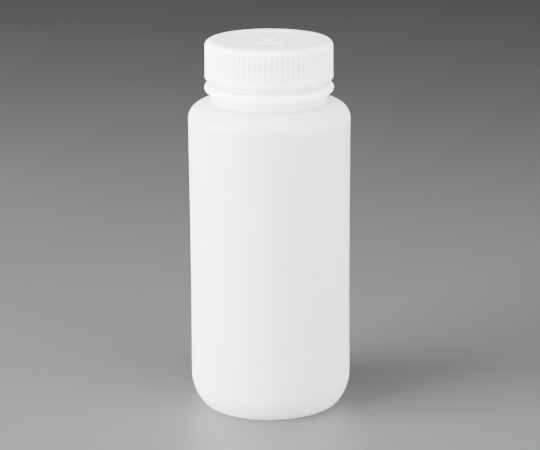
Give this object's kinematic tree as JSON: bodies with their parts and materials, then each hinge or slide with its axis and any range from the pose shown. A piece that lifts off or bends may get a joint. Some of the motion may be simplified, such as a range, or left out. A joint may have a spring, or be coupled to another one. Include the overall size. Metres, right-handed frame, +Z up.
{
  "type": "wide-mouth reagent bottle",
  "caption": "Round wide-mouth plastic reagent bottle with sloped heel, neck bead and a ribbed screw cap that holds a sealing liner.",
  "frame": {"origin": "centre of the base, on the surface that the bottle stands on", "axes": "+Z up along the bottle's axis; -Y is the front, the side that the turning arrow on the cap is nearest to; +X is to the right of the front"},
  "size_m": [0.0734, 0.0734, 0.1698],
  "materials": {
    "natural_polyethylene": "frosted translucent white, satin",
    "natural_polypropylene": "milky translucent white, fine satin",
    "liner_foam": "soft matt closed-cell foam"
  },
  "bodies": {
    "bottle": {"bottle": "natural_polyethylene"},
    "liner": {"sealing_liner": "liner_foam"},
    "cap": {"screw_cap": "natural_polypropylene"}
  },
  "joints": [
    {"name": "cap_lift", "type": "slide", "parent": "bottle", "child": "liner", "axis": [0, 0, 1], "range_m": [0, 0.0211]},
    {"name": "cap_turn", "type": "hinge", "parent": "liner", "child": "cap", "pos_m": [0, 0, 0.1668], "axis": [0, 0, 1], "range_deg": [0, 1800]}
  ],
  "couplings": [
    {"joint": "cap_lift", "follows": "cap_turn", "m_per_rad": 0.00066845}
  ]
}
